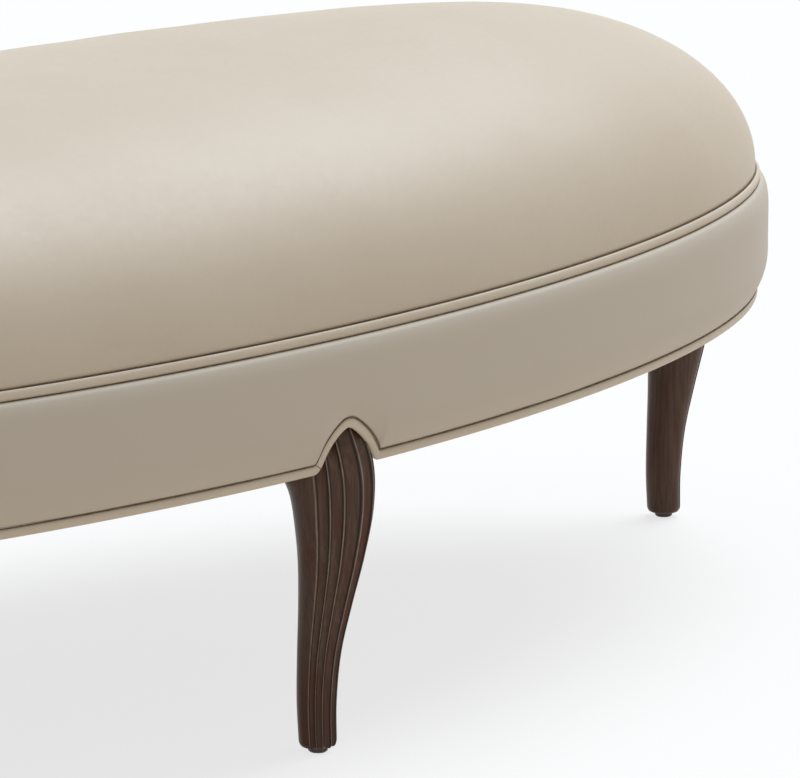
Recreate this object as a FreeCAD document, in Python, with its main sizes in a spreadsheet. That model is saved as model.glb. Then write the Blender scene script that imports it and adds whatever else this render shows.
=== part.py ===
"""Oval bed bench: a crowned leather seat on a banded apron, with four carved, fluted legs."""
import FreeCAD, Part
import math
import os
import re
import Sketcher

Vector = FreeCAD.Vector

# Driving sizes in millimetres, and angles in degrees. "Front" reaches are measured outwards from the
# oval seam line, and "back" reaches inwards from it.
SIZES = {
    "half_length": 753,
    "half_depth": 314,
    "seat_height": 485,
    "lower_seam": 234,
    "band_height": 91.5,
    "band_bulge": 9,
    "welt_diameter": 8,
    "cord_diameter": 5.4,
    "leather": 1.3,
    "clearance": 0.3,
    "wadding": 9,
    "base_foam_height": 60,
    "dome_inset": 3.7,
    "crown_run": 417,
    "crown_power": 2.684,
    "crown_root": 2.03,
    "welt_inset": 1,
    "rail_setback": 7,
    "rail_thickness": 22,
    "wood_fit": 0.2,
    "deck_thickness": 15,
    "vent_diameter": 25,
    "vent_spacing": 160,
    "cross_rail_offset": 240,
    "cross_rail_width": 22,
    "cross_rail_height": 60,
    "post_width": 44,
    "block_cheek": 58,
    "block_depth": 29,
    "block_lift": 11,
    "bolt_diameter": 8,
    "bolt_grip": 24,
    "bolt_end": 9,
    "washer_diameter": 18,
    "washer_thickness": 1.6,
    "nut_width": 13,
    "nut_thickness": 6.5,
    "screw_diameter": 4.5,
    "screw_head": 9,
    "screw_head_height": 3,
    "screw_point": 5,
    "screw_length": 45,
    "screw_sink": 2.5,
    "dust_cover": 1,
    "dust_inset": 8,
    "notch_margin": 3,
    "staple_width": 10,
    "staple_wire": 1.2,
    "staple_length": 12,
    "staple_margin": 10,
    "glide_diameter": 15,
    "glide_height": 4.5,
    "glide_edge": 1.2,
    "nail_diameter": 3,
    "nail_length": 16,
    "arch_half": 31.5,
    "arch_rise": 30,
    "arch_tip": 14,
    "arch_shoulder": 38,
    "flute_wide": 30,
    "flute_narrow": 22,
    "flute_depth": 0.15,
    "toe_front": -23.5,
    "toe_radius": 11.8,
    "foot_height": 9.5,
    "foot_front": -20.9,
    "foot_radius": 14.4,
    "ankle_height": 39,
    "ankle_front": -21.2,
    "ankle_radius": 15.2,
    "shin_front": -16.7,
    "shin_radius": 16.8,
    "calf_front": -6.4,
    "calf_radius": 20.5,
    "hollow_front": 4.8,
    "hollow_radius": 25.4,
    "knee_drop": 40,
    "knee_front": 12.2,
    "knee_radius": 30.6,
    "shoulder_drop": 6,
    "shoulder_front": 11,
    "shoulder_gap": 0.5,
    "crown_margin": 6,
    "crown_front": -3,
    "crown_radius": 28,
}

# Shares of the way from the seam to the ridge at which the crown's oval sections are drawn.
CROWN_STATIONS = (0, 0.012, 0.04, 0.09, 0.165, 0.27, 0.41, 0.58, 0.775, 0.97)

# Shares of the band's height at which its oval sections are drawn, and where its swelling is full.
BAND_STATIONS = (0, 0.06, 0.14, 0.24, 0.36, 0.5, 0.64, 0.77, 0.87, 0.94, 0.98, 1)
BAND_FULL_FROM = 0.35
BAND_FULL_TO = 0.6
LOFT_DEGREE = 3

# How near the arcs of a welt keep to the seam oval.
ARC_TOLERANCE = 0.02

# Each leg stands at one end of an axis of the oval: turn about Z, and the seam point it faces out from.
SIDES = {
    "front": (0, "0", "-half_depth"),
    "right": (90, "half_length", "0"),
    "rear": (180, "0", "half_depth"),
    "left": (270, "-half_length", "0"),
}

# Heights of the leg's carved sections. The bare leg between ankle and knee is divided evenly.
BARE_LEG = "(lower_seam - knee_drop - ankle_height)"
LEG_HEIGHTS = {
    "foot": "foot_height",
    "ankle": "ankle_height",
    "shin": f"ankle_height + {BARE_LEG} / 4",
    "calf": f"ankle_height + {BARE_LEG} / 2",
    "hollow": f"ankle_height + {BARE_LEG} * 3 / 4",
    "knee": "lower_seam - knee_drop",
    "shoulder": "lower_seam - shoulder_drop",
    "crown": "lower_seam - welt_diameter / 2 + arch_rise + crown_margin",
}

# Heights and levels worked out from the driving sizes.
BAND_TOP = "(lower_seam + band_height)"
DOME_BASE = "(lower_seam + band_height + welt_diameter)"
DOME_HEIGHT = "(seat_height - lower_seam - band_height - welt_diameter)"
RAIL_BOTTOM = "(lower_seam + leather + clearance)"
RAIL_TOP = f"({DOME_BASE} - deck_thickness)"
RAIL_HEIGHT = f"({RAIL_TOP} - {RAIL_BOTTOM})"
WELT_RADIUS = "(welt_diameter / 2 - clearance / 2)"
WELT_BORE = "(cord_diameter / 2 + clearance)"
ARCH_MARGIN = f"({WELT_RADIUS} + 2 * clearance)"
LOWER_WELT = "(lower_seam - welt_diameter / 2)"
RAIL_INNER = "(rail_setback + rail_thickness)"

# The leg's shoulder fills the arch, the post rises flush with its back, and the block wraps the post.
SHOULDER_RADIUS = "(arch_half - shoulder_gap)"
POST_BACK = f"(2 * {SHOULDER_RADIUS} - shoulder_front)"
BLOCK_BACK = f"({POST_BACK} + block_depth)"
BLOCK_WIDTH = "(post_width + 2 * block_cheek)"
BLOCK_HEIGHT = f"({RAIL_HEIGHT} - block_lift)"
BOLT_LENGTH = "(bolt_grip + block_depth + washer_thickness + nut_thickness + bolt_end)"
GLIDE_BACK = "(toe_radius - toe_front)"
STAPLE_INSET = "(rail_setback + staple_margin)"
HEM_WIDTH = f"({STAPLE_INSET} - staple_wire)"

QUADRANTS = {
    "front_left": (-1, -1),
    "front_right": (1, -1),
    "rear_left": (-1, 1),
    "rear_right": (1, 1),
}

DECK_SCREW_ANGLES = (20, 45, 75)
STAPLES_PER_RAIL = 10
STAPLE_FIRST_ANGLE = 13
STAPLE_LAST_ANGLE = 81

doc = FreeCAD.newDocument("bed_bench")
sheet = doc.addObject("Spreadsheet::Sheet", "Sizes")
for row, (alias, number) in enumerate(SIZES.items(), start=1):
    sheet.set(f"A{row}", alias)
    sheet.set(f"B{row}", str(number))
    sheet.setAlias(f"B{row}", alias)
doc.recompute()

WORD = re.compile(r"[a-z][a-z_]*")
nodes = []


def formula(text):
    """The expression with every size name read from the sheet."""
    return WORD.sub(lambda word: f"Sizes.{word[0]}" if word[0] in SIZES else word[0], text)


def value(text):
    """The number that an expression on the sheet comes to."""
    return float(sheet.evalExpression(formula(text)))


def bind(thing, **properties):
    """Ties properties to expressions; base_x, base_y and base_z tie the placement."""
    for name, text in properties.items():
        path = f".Placement.Base.{name[-1]}" if name.startswith("base_") else name
        thing.setExpression(path, formula(text))
    return thing


def add(kind, name, **properties):
    """A document object of the kind, with its sizes tied to the sheet."""
    return bind(doc.addObject(kind, name), **properties)


def node(thing, name):
    """Marks an object as a finished piece of the bench."""
    thing.Label = name
    nodes.append(thing)
    return thing


def ellipse(name, offset, level):
    """The seam oval moved outwards by the offset, at a level."""
    return add(
        "Part::Ellipse", name,
        MajorRadius=f"half_length + ({offset})", MinorRadius=f"half_depth + ({offset})", base_z=level,
    )


def slab(name, offset, bottom, height):
    """An upright oval block."""
    outline = ellipse(f"{name}_outline", offset, bottom)
    block = add("Part::Extrusion", name, LengthFwd=height)
    block.Base = outline
    block.DirMode = "Custom"
    block.Dir = Vector(0, 0, 1)
    block.Solid = True
    return block


def loft(name, sections):
    body = doc.addObject("Part::Loft", name)
    body.Sections = sections
    body.Solid = True
    body.Ruled = False
    body.MaxDegree = LOFT_DEGREE
    return body


def boolean(kind, name, base, tool):
    result = doc.addObject(f"Part::{kind}", name)
    result.Base = base
    result.Tool = tool
    return result


def compound(name, things):
    group = doc.addObject("Part::Compound", name)
    group.Links = things
    return group


def feature(name, shape):
    """A piece whose shape is worked out from the sheet by the code that calls this."""
    thing = doc.addObject("Part::Feature", name)
    thing.Shape = shape
    return thing


def side_place(side, across=0.0, inwards=0.0, height=0.0):
    """The placement of a leg's own frame: X across, Y inwards from the seam, Z up."""
    turn, seam_x, seam_y = SIDES[side]
    seam_point = Vector(value(seam_x), value(seam_y), 0)
    frame = FreeCAD.Placement(seam_point, FreeCAD.Rotation(Vector(0, 0, 1), turn))
    return frame * FreeCAD.Placement(Vector(across, inwards, height), FreeCAD.Rotation())


def bind_to_side(thing, side, across, inwards, height):
    """Ties a placement in a leg's own frame to the sheet."""
    turn, seam_x, seam_y = SIDES[side]
    cosine = round(math.cos(math.radians(turn)))
    sine = round(math.sin(math.radians(turn)))
    thing.Placement.Rotation = FreeCAD.Rotation(Vector(0, 0, 1), turn)
    return bind(
        thing,
        base_x=f"{seam_x} + ({cosine}) * ({across}) - ({sine}) * ({inwards})",
        base_y=f"{seam_y} + ({sine}) * ({across}) + ({cosine}) * ({inwards})",
        base_z=height,
    )


def side_box(name, side, width, near, far, bottom, height):
    """A box in a leg's own frame, centred across it, from near to far inwards of the seam."""
    box = add("Part::Box", name, Length=width, Width=f"({far}) - ({near})", Height=height)
    return bind_to_side(box, side, f"-({width}) / 2", near, bottom)


def quadrant_box(name, corner, margin, bottom, height):
    """One quarter of the plan, kept the margin away from both axes."""
    along, away = QUADRANTS[corner]
    length = "(half_length + band_bulge)"
    depth = "(half_depth + band_bulge)"
    return add(
        "Part::Box", name, Length=length, Width=depth, Height=height, base_z=bottom,
        base_x=margin if along > 0 else f"-({margin}) - {length}",
        base_y=margin if away > 0 else f"-({margin}) - {depth}",
    )


def oval_inset(side, inset, across):
    """How far inwards of the seam point an inset oval lies, at a distance across the leg."""
    reach = value("half_depth") if side in ("front", "rear") else value("half_length")
    span = value("half_length") if side in ("front", "rear") else value("half_depth")
    return reach - (reach - inset) * math.sqrt(1 - (across / (span - inset)) ** 2)


def swell(share):
    """The band's swelling at a share of its height, from 0 at both seams to 1."""
    rise = 1 - max(0, 1 - share / BAND_FULL_FROM) ** 2
    fall = max(0, (share - BAND_FULL_TO) / (1 - BAND_FULL_TO))
    return rise * math.sqrt(1 - fall ** 4)


def crown_loft(name, inset):
    """The crowned seat form, drawn in by the inset all over."""
    sections = []
    for number, share in enumerate(CROWN_STATIONS):
        rise = f"(1 - (1 - {share})^crown_power)^(1 / crown_root)" if share else "0"
        sections.append(add(
            "Part::Ellipse", f"{name}_{number}",
            MajorRadius=f"half_length - dome_inset - ({inset}) - crown_run * {share}",
            MinorRadius=f"(half_depth - dome_inset - ({inset})) * (1 - {share})",
            base_z=f"{DOME_BASE} + ({DOME_HEIGHT} - ({inset})) * {rise}",
        ))
    return loft(name, sections)


def band_loft(name, inset, bottom, top):
    """The swelling band form, drawn in by the inset, between two levels."""
    sections = [
        ellipse(f"{name}_{number}", f"band_bulge * {swell(share):.5f} - ({inset})",
                f"({bottom}) + (({top}) - ({bottom})) * {share}")
        for number, share in enumerate(BAND_STATIONS)
    ]
    return loft(name, sections)


def arch_arcs(offset, rise):
    """Start, middle and end points of the arch's three arcs, as (across, up), moved outwards."""
    tip = value("arch_tip")
    shoulder = math.radians(value("arch_shoulder"))
    run = value("arch_half") - tip * math.sin(shoulder)
    drop = rise - tip + tip * math.cos(shoulder)
    foot = 2 * math.atan2(drop, run) - shoulder
    flank = run / (math.sin(foot) - math.sin(shoulder))
    centre_across = (tip - flank) * math.sin(shoulder)
    centre_up = rise - tip + (tip - flank) * math.cos(shoulder)

    def on_flank(angle):
        radius = flank + offset
        return centre_across + radius * math.sin(angle), centre_up + radius * math.cos(angle)

    low, middle, high = on_flank(foot), on_flank((foot + shoulder) / 2), on_flank(shoulder)
    return low, middle, high, (0, rise + offset), foot


def arch_curve(offset, rise, to_space):
    """Edges over the arch from one foot to the other; to_space turns (across, up) into a point."""
    low, middle, high, top, _ = arch_arcs(offset, rise)

    def at(point, hand):
        return to_space(hand * point[0], point[1])

    return [
        Part.Arc(at(low, -1), at(middle, -1), at(high, -1)).toShape(),
        Part.Arc(at(high, -1), at(top, 1), at(high, 1)).toShape(),
        Part.Arc(at(high, 1), at(middle, 1), at(low, 1)).toShape(),
    ]


def arch_prism(offset, outer, inner):
    """A block with the arch's outline, from outer to inner along a leg's own Y."""
    base = value(LOWER_WELT)
    rise = value("arch_rise")
    below = -value("welt_diameter")
    low, _, _, _, foot = arch_arcs(offset, rise)
    out = low[0] + (low[1] - below) / math.tan(foot)

    def to_space(across, up):
        return Vector(across, outer, base + up)

    outline = [low, (out, below), (-out, below), (-low[0], low[1])]
    corners = [to_space(across, up) for across, up in outline]
    edges = arch_curve(offset, rise, to_space)
    edges += [Part.makeLine(start, end) for start, end in zip(corners, corners[1:])]
    return Part.Face(Part.Wire(edges)).extrude(Vector(0, inner - outer, 0))


def pipe(edges, radius):
    """A round solid along a smooth run of edges."""
    start = edges[0].valueAt(edges[0].FirstParameter)
    heading = edges[0].tangentAt(edges[0].FirstParameter)
    profile = Part.Wire(Part.makeCircle(radius, start, heading))
    return Part.Wire(edges).makePipeShell([profile], True, True)


def oval_arcs(inset, level, start, end):
    """Arcs along the seam oval, moved inwards and to a level, between two angles."""
    long_half = value("half_length") - inset
    oval = Part.Ellipse(Vector(0, 0, level), long_half, value("half_depth") - inset)
    stretch = Part.ArcOfEllipse(oval, start, end).toBSpline()
    return [arc.toShape() for arc in stretch.toBiArcs(ARC_TOLERANCE)]


def ring_pipe(inset, level, radius):
    """A round solid all the way round the seam oval, moved inwards and to a level."""
    corners = [quarter * math.pi / 2 for quarter in range(len(QUADRANTS) + 1)]
    edges = []
    for start, end in zip(corners, corners[1:]):
        edges += oval_arcs(inset, level, start, end)
    return pipe(edges, radius)


def welt_pipe(corner, radius):
    """A round solid along one quarter of the lower seam oval, stopping clear of the arches' welts."""
    along, away = QUADRANTS[corner]
    stop = value(f"arch_half + {WELT_RADIUS} + clearance")
    near_end = math.asin(stop / value("half_depth"))
    near_middle = math.acos(stop / value("half_length"))
    ends = [math.atan2(away * math.sin(angle), along * math.cos(angle)) for angle in (near_end, near_middle)]
    return pipe(oval_arcs(0, value(LOWER_WELT), *sorted(ends)), radius)


def arch_pipe(side, radius):
    """A round solid over the arch, leaning out with the swelling band."""
    foot_depth = oval_inset(side, 0, value("arch_half"))
    rise = value("arch_rise")
    apex_share = (rise - value("welt_diameter / 2")) / value("band_height")
    apex_depth = value("leather") - value("band_bulge") * swell(apex_share)
    lean = math.atan2(foot_depth - apex_depth, rise)
    base = value(LOWER_WELT)

    def to_space(across, up):
        return Vector(across, foot_depth - up * math.sin(lean), base + up * math.cos(lean))

    edges = arch_curve(0, rise / math.cos(lean), to_space)
    return pipe(edges, radius)


def profile_sketch(body, plane, points):
    """A closed outline on one of the body's own planes, each corner tied to a pair of expressions."""
    sketch = body.newObject("Sketcher::SketchObject", f"{body.Name}_outline")
    support = next(part for part in body.Origin.OriginFeatures if part.Role == plane)
    sketch.AttachmentSupport = (support, "")
    sketch.MapMode = "FlatFace"
    corners = [Vector(value(across), value(up), 0) for across, up in points]
    for start, end in zip(corners, corners[1:] + corners[:1]):
        sketch.addGeometry(Part.LineSegment(start, end))
    for line in range(len(points)):
        sketch.addConstraint(Sketcher.Constraint("Coincident", line, 2, (line + 1) % len(points), 1))
    for line, pair in enumerate(points):
        for axis, (kind, text) in enumerate(zip(("DistanceX", "DistanceY"), pair)):
            if text == "0":
                sketch.addConstraint(Sketcher.Constraint("PointOnObject", line, 1, -2 + axis))
                continue
            index = sketch.addConstraint(Sketcher.Constraint(kind, -1, 1, line, 1, value(text)))
            sketch.setExpression(f"Constraints[{index}]", formula(text))
    return sketch


def turned(name, points):
    """A body turned about Z from its half outline of (radius, height)."""
    body = doc.addObject("PartDesign::Body", name)
    sketch = profile_sketch(body, "XZ_Plane", points)
    turn = body.newObject("PartDesign::Revolution", f"{name}_turn")
    turn.Profile = sketch
    turn.ReferenceAxis = (sketch, ["V_Axis"])
    turn.Angle = 360
    body.Tip = turn
    return body


def padded_outline(name, plane, points, thickness):
    """A body padded from an outline, to the same distance on both sides of its plane."""
    body = doc.addObject("PartDesign::Body", name)
    sketch = profile_sketch(body, plane, points)
    pad = body.newObject("PartDesign::Pad", f"{name}_pad")
    pad.Profile = sketch
    pad.SideType = "Symmetric"
    pad.setExpression("Length", formula(thickness))
    body.Tip = pad
    return body


def copies(shape, places):
    """Separate copies of a shape, one at each placement."""
    return Part.makeCompound([shape.transformed(place.toMatrix(), copy=True) for place in places])


# Small metal parts, each made once in its own frame with its axis along Z.
screw = turned("screw", [
    ("0", "0"),
    ("screw_head / 2", "0"),
    ("screw_diameter / 2", "screw_head_height"),
    ("screw_diameter / 2", "screw_length - screw_point"),
    ("0", "screw_length"),
])
bolt = turned("bolt", [
    ("0", "0"),
    ("bolt_diameter / 2", "0"),
    ("bolt_diameter / 2", BOLT_LENGTH),
    ("0", BOLT_LENGTH),
])
washer = turned("washer", [
    ("bolt_diameter / 2 + clearance", "0"),
    ("washer_diameter / 2", "0"),
    ("washer_diameter / 2", "washer_thickness"),
    ("bolt_diameter / 2 + clearance", "washer_thickness"),
])
hexagon = [
    (f"nut_width / 2 * {math.cos(math.radians(angle)) / math.cos(math.pi / 6):.6f}",
     f"nut_width / 2 * {math.sin(math.radians(angle)) / math.cos(math.pi / 6):.6f}")
    for angle in range(30, 390, 60)
]
nut_blank = padded_outline("nut_blank", "XY_Plane", hexagon, "nut_thickness")
nut_bore = add(
    "Part::Cylinder", "nut_bore",
    Radius="bolt_diameter / 2", Height="nut_thickness", base_z="-nut_thickness / 2",
)
nut = boolean("Cut", "nut", nut_blank, nut_bore)
staple = padded_outline("staple", "XZ_Plane", [
    ("-staple_width / 2", "-staple_wire"),
    ("staple_width / 2", "-staple_wire"),
    ("staple_width / 2", "staple_length"),
    ("staple_width / 2 - staple_wire", "staple_length"),
    ("staple_width / 2 - staple_wire", "0"),
    ("-staple_width / 2 + staple_wire", "0"),
    ("-staple_width / 2 + staple_wire", "staple_length"),
    ("-staple_width / 2", "staple_length"),
], "staple_wire")
doc.recompute()

# Where the fasteners go. INWARDS turns a part's own axis to point inwards of the seam.
INWARDS = FreeCAD.Placement(Vector(), FreeCAD.Rotation(Vector(1, 0, 0), -90))
DOWNWARDS = FreeCAD.Rotation(Vector(1, 0, 0), 180)
bolt_levels = [value(f"{RAIL_TOP} - {BLOCK_HEIGHT} * {share}") for share in (0.75, 0.25)]
setback = value("rail_setback")


def along_bolts(inwards):
    """Placements at every hanger bolt, a distance inwards of the seam."""
    return [side_place(side, 0, inwards, level) * INWARDS for side in SIDES for level in bolt_levels]


def screw_place(side, across, level):
    """A screw driven inwards through a rail, its head sunk below the rail's face."""
    depth = oval_inset(side, setback, across) + value("screw_sink")
    return side_place(side, across, depth, level) * INWARDS


block_screw_places = [
    screw_place(side, hand * value("(post_width + block_cheek) / 2"), level)
    for side in SIDES for hand in (-1, 1) for level in bolt_levels
]
cross_screw_levels = [value(f"{RAIL_TOP} - cross_rail_height * {share}") for share in (0.75, 0.25)]
cross_screw_places = [
    screw_place(side, hand * value("cross_rail_offset"), level)
    for side in ("front", "rear") for hand in (-1, 1) for level in cross_screw_levels
]
mid_rail = value("rail_setback + rail_thickness / 2")
deck_screw_places = []
for quarter in range(4):
    for angle in DECK_SCREW_ANGLES:
        part_angle = math.radians(angle if quarter % 2 == 0 else 90 - angle) + quarter * math.pi / 2
        spot = Vector(
            (value("half_length") - mid_rail) * math.cos(part_angle),
            (value("half_depth") - mid_rail) * math.sin(part_angle),
            value(DOME_BASE),
        )
        deck_screw_places.append(FreeCAD.Placement(spot, DOWNWARDS))

staple_level = value("lower_seam - clearance - dust_cover")
staple_oval = (value(f"half_length - {STAPLE_INSET}"), value(f"half_depth - {STAPLE_INSET}"))
staple_places = []
for quarter in range(4):
    for number in range(STAPLES_PER_RAIL):
        share = number / (STAPLES_PER_RAIL - 1)
        first = STAPLE_FIRST_ANGLE if quarter % 2 == 0 else 90 - STAPLE_LAST_ANGLE
        angle = math.radians(first + share * (STAPLE_LAST_ANGLE - STAPLE_FIRST_ANGLE)) + quarter * math.pi / 2
        spot = Vector(staple_oval[0] * math.cos(angle), staple_oval[1] * math.sin(angle), staple_level)
        heading = math.atan2(staple_oval[1] * math.cos(angle), -staple_oval[0] * math.sin(angle))
        turn = FreeCAD.Rotation(Vector(0, 0, 1), math.degrees(heading))
        staple_places.append(FreeCAD.Placement(spot, turn))

bolt_start = value(f"{POST_BACK} - bolt_grip")
nut_middle = value(f"{BLOCK_BACK} + washer_thickness + nut_thickness / 2")
node(feature("hanger_bolts", copies(bolt.Shape, along_bolts(bolt_start))), "hanger_bolts")
node(feature("bolt_washers", copies(washer.Shape, along_bolts(value(BLOCK_BACK)))), "bolt_washers")
node(feature("bolt_nuts", copies(nut.Shape, along_bolts(nut_middle))), "bolt_nuts")
node(feature("block_screws", copies(screw.Shape, block_screw_places)), "block_screws")
node(feature("cross_rail_screws", copies(screw.Shape, cross_screw_places)), "cross_rail_screws")
node(feature("deck_screws", copies(screw.Shape, deck_screw_places)), "deck_screws")
node(feature("dust_cover_staples", copies(staple.Shape, staple_places)), "dust_cover_staples")

# The holes that the screw heads are sunk through, from the head out past the rail's face.
counterbore = Part.makeCylinder(
    value("screw_head / 2"), value("screw_sink + rail_setback"), Vector(0, 0, 0), Vector(0, 0, -1)
)
counterbores = feature("counterbores", copies(counterbore, block_screw_places + cross_screw_places))
rail_holes = compound("rail_holes", [counterbores] + [
    doc.getObject(name) for name in ("block_screws", "cross_rail_screws", "deck_screws", "dust_cover_staples")
])

# Curved apron rails: a wooden oval in four lengths, each from one leg post to the next.
rail_outer = slab("rail_outer", "-rail_setback", RAIL_BOTTOM, RAIL_HEIGHT)
rail_inner = slab("rail_inner", f"-{RAIL_INNER}", RAIL_BOTTOM, RAIL_HEIGHT)
rail_oval = boolean("Cut", "rail_oval", rail_outer, rail_inner)
for corner in QUADRANTS:
    quarter = quadrant_box(f"{corner}_quarter", corner, "post_width / 2 + wood_fit", RAIL_BOTTOM, RAIL_HEIGHT)
    blank = boolean("Common", f"{corner}_blank", rail_oval, quarter)
    node(boolean("Cut", f"{corner}_rail", blank, rail_holes), f"{corner}_rail")

# Cross rails, scribed to the inside of the apron.
INSIDE_FRAME = f"-{RAIL_INNER} - wood_fit"
inside = slab("inside", INSIDE_FRAME, RAIL_BOTTOM, RAIL_HEIGHT)
for hand, name in ((-1, "left_cross_rail"), (1, "right_cross_rail")):
    bar = add(
        "Part::Box", f"{name}_bar",
        Length="cross_rail_width", Width="2 * half_depth", Height="cross_rail_height",
        base_x=f"{hand} * cross_rail_offset - cross_rail_width / 2",
        base_y="-half_depth", base_z=f"{RAIL_TOP} - cross_rail_height",
    )
    scribed = boolean("Common", f"{name}_scribed", bar, inside)
    node(boolean("Cut", name, scribed, doc.getObject("cross_rail_screws")), name)

# Leg blocks: each wraps the inner end of a leg post and is scribed to the rails beside it.
block_holes = compound("block_holes", [doc.getObject("block_screws"), doc.getObject("hanger_bolts")])
for side in SIDES:
    bottom = f"{RAIL_TOP} - {BLOCK_HEIGHT}"
    blank = side_box(
        f"{side}_block_blank", side, BLOCK_WIDTH, "rail_setback", BLOCK_BACK, bottom, BLOCK_HEIGHT
    )
    recess = side_box(
        f"{side}_block_recess", side,
        "post_width + 2 * wood_fit", "0", f"{POST_BACK} + wood_fit", bottom, BLOCK_HEIGHT,
    )
    scribed = boolean("Common", f"{side}_block_scribed", blank, inside)
    notched = boolean("Cut", f"{side}_block_notched", scribed, recess)
    node(boolean("Cut", f"{side}_leg_block", notched, block_holes), f"{side}_leg_block")

# Seat deck: plywood with breathing holes, screwed down on the rails.
deck_blank = slab("deck_blank", "-rail_setback", RAIL_TOP, "deck_thickness")
vents = [
    add("Part::Cylinder", f"vent_{number}", Radius="vent_diameter / 2", Height="deck_thickness",
        base_x=f"{number - 2} * vent_spacing", base_z=RAIL_TOP)
    for number in range(5)
]
deck_holes = compound("deck_holes", vents + [doc.getObject("deck_screws")])
node(boolean("Cut", "seat_deck", deck_blank, deck_holes), "seat_deck")


def flute_angles():
    """Angles of the ridges between flutes, from one side of the leg's front to the other."""
    wide = value("flute_wide")
    narrow = value("flute_narrow")
    half = [wide, wide + narrow, wide + 2 * narrow]
    return [-angle for angle in reversed(half)] + [0] + half


def leg_section(height, front, radius):
    """The leg's round section, hollowed by flutes on its front and plain at its back."""
    axis = radius - front

    def around(angle, reach):
        turn = math.radians(angle)
        return Vector(reach * math.sin(turn), axis - reach * math.cos(turn), height)

    ridges = flute_angles()
    edges = []
    for start, end in zip(ridges, ridges[1:]):
        half_turn = math.radians(end - start) / 2
        bottom = radius * (math.cos(half_turn) - 2 * value("flute_depth") * math.sin(half_turn))
        middle = around((start + end) / 2, bottom)
        edges.append(Part.Arc(around(start, radius), middle, around(end, radius)).toShape())
    plain = ridges[-1]
    for start, end in ((plain, 180), (180, 360 - plain)):
        points = [around(angle, radius) for angle in (start, (start + end) / 2, end)]
        edges.append(Part.Arc(*points).toShape())
    return Part.Wire(edges)


def leg_shape():
    """A carved leg in its own frame: the fluted leg, its crown in the arch, and the post above."""
    sections = []
    for station, height in LEG_HEIGHTS.items():
        radius = SHOULDER_RADIUS if station == "shoulder" else f"{station}_radius"
        sections.append(leg_section(value(height), value(f"{station}_front"), value(radius)))
    carved = Part.makeLoft(sections, True, False, False, LOFT_DEGREE)
    sole = leg_section(value("glide_height"), value("toe_front"), value("toe_radius"))
    toe = Part.makeLoft([sole, sections[0]], True, True)
    gap = value("clearance")
    width = value("post_width")
    reach = value(POST_BACK)
    shoulder = value("lower_seam") - gap
    below = Part.makeBox(2 * reach, 4 * reach, shoulder, Vector(-reach, -reach, 0))
    rail_face = value("rail_setback") - gap
    post_front = max(oval_inset(side, value("rail_setback"), width / 2) for side in SIDES) + gap
    crown = carved.common(arch_prism(-value(ARCH_MARGIN), -reach, post_front + gap))
    cheeks = [
        Part.makeBox(reach, reach, value(RAIL_TOP), Vector(across, rail_face, 0))
        for across in (width / 2, -width / 2 - reach)
    ]
    post = Part.makeBox(
        width, reach - post_front, value(RAIL_TOP) - shoulder + gap,
        Vector(-width / 2, post_front, shoulder - gap),
    )
    return carved.common(below).fuse([toe, crown.cut(cheeks), post]).removeSplitter()


# Carved legs, bored for their hanger bolts and their glides' nails.
glides = {}
for side in SIDES:
    glide = turned(f"{side}_glide", [
        ("0", "0"),
        ("glide_diameter / 2 - glide_edge", "0"),
        ("glide_diameter / 2", "glide_edge"),
        ("glide_diameter / 2", "glide_height"),
        ("nail_diameter / 2", "glide_height"),
        ("nail_diameter / 2", "glide_height + nail_length"),
        ("0", "glide_height + nail_length"),
    ])
    glides[side] = node(bind_to_side(glide, side, "0", GLIDE_BACK, "0"), f"{side}_glide")
leg_blank = leg_shape()
for side in SIDES:
    blank = feature(f"{side}_leg_blank", leg_blank)
    blank.Placement = side_place(side)
    holes = compound(f"{side}_leg_holes", [doc.getObject("hanger_bolts"), glides[side]])
    node(boolean("Cut", f"{side}_leg", blank, holes), f"{side}_leg")

# Seat filling and its leather cover, each layer drawn in from the one above.
COVER_INSIDE = "leather"
WADDING_OUTSIDE = "leather + clearance"
WADDING_INSIDE = "leather + clearance + wadding"
FOAM_OUTSIDE = "leather + 2 * clearance + wadding"
cover_form = crown_loft("cover_form", "0")
cover_hollow = crown_loft("cover_hollow", COVER_INSIDE)
node(boolean("Cut", "top_cover", cover_form, cover_hollow), "top_cover")
wadding_form = crown_loft("wadding_form", WADDING_OUTSIDE)
wadding_hollow = crown_loft("wadding_hollow", WADDING_INSIDE)
node(boolean("Cut", "crown_wadding", wadding_form, wadding_hollow), "crown_wadding")
foam_form = crown_loft("foam_form", FOAM_OUTSIDE)
foam_split = slab("foam_split", "0", DOME_BASE, "base_foam_height")
node(boolean("Common", "base_foam", foam_form, foam_split), "base_foam")
node(boolean("Cut", "crown_foam", foam_form, foam_split), "crown_foam")

# The band: padding behind a leather cover, open at each leg, whose hem is glued under the rails.
arch_block = arch_prism(value(ARCH_MARGIN), -value(POST_BACK), value(POST_BACK))
arch_cutters = []
for side in SIDES:
    cutter = feature(f"{side}_arch_cutter", arch_block)
    cutter.Placement = side_place(side)
    arch_cutters.append(cutter)
arches = compound("arches", arch_cutters)
band_form = band_loft("band_form", "0", "lower_seam", BAND_TOP)
band_hollow = band_loft("band_hollow", "leather", "lower_seam", BAND_TOP)
band_wall = boolean("Cut", "band_wall", band_form, band_hollow)
hem_blank = slab("hem_blank", "-leather / 2", "lower_seam", "leather")
hem_opening = slab("hem_opening", f"-{HEM_WIDTH}", "lower_seam", "leather")
hem = boolean("Cut", "hem", hem_blank, hem_opening)
hemmed_band = boolean("Fuse", "hemmed_band", band_wall, hem)
node(boolean("Cut", "band_cover", hemmed_band, arches), "band_cover")
padding_form = band_loft("padding_form", "leather + clearance", RAIL_BOTTOM, f"{BAND_TOP} - clearance")
padding_core = slab("padding_core", "clearance - rail_setback", RAIL_BOTTOM, "band_height")
padding_ring = boolean("Cut", "padding_ring", padding_form, padding_core)
node(boolean("Cut", "band_padding", padding_ring, arches), "band_padding")

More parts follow.
